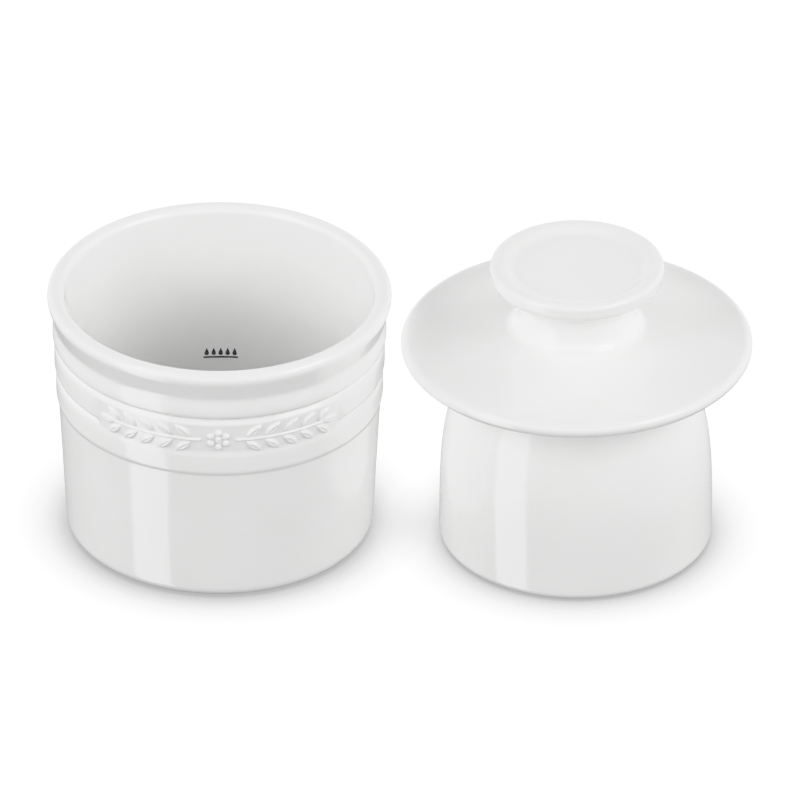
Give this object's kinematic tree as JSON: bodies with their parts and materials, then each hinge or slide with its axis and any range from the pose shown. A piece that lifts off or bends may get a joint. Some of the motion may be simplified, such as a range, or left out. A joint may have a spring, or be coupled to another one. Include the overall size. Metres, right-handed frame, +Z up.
{
  "type": "butter crock",
  "caption": "Glazed stoneware butter crock: an open crock with raised bands and a leaf relief, and a lid whose bell holds the butter, hung mouth down in a little water.",
  "frame": {"origin": "centre of the crock's foot, on the surface it stands on", "axes": "+Z up; +X from the crock towards the lid standing beside it; -Y is the front, where the leaf relief is"},
  "size_m": [0.2046, 0.1075, 0.091],
  "materials": {
    "white_glaze": "gloss",
    "fired_ink": "gloss"
  },
  "bodies": {
    "crock": {"crock_body": "white_glaze", "sprig_relief": "white_glaze", "fill_mark": "fired_ink"},
    "lid": {"bell_cup": "white_glaze", "lid_brim": "white_glaze", "knob": "white_glaze"}
  },
  "joints": [
    {"name": "lid_lift", "type": "slide", "parent": "crock", "child": "lid", "axis": [0, 0, 1], "range_m": [0, 0.1]}
  ]
}
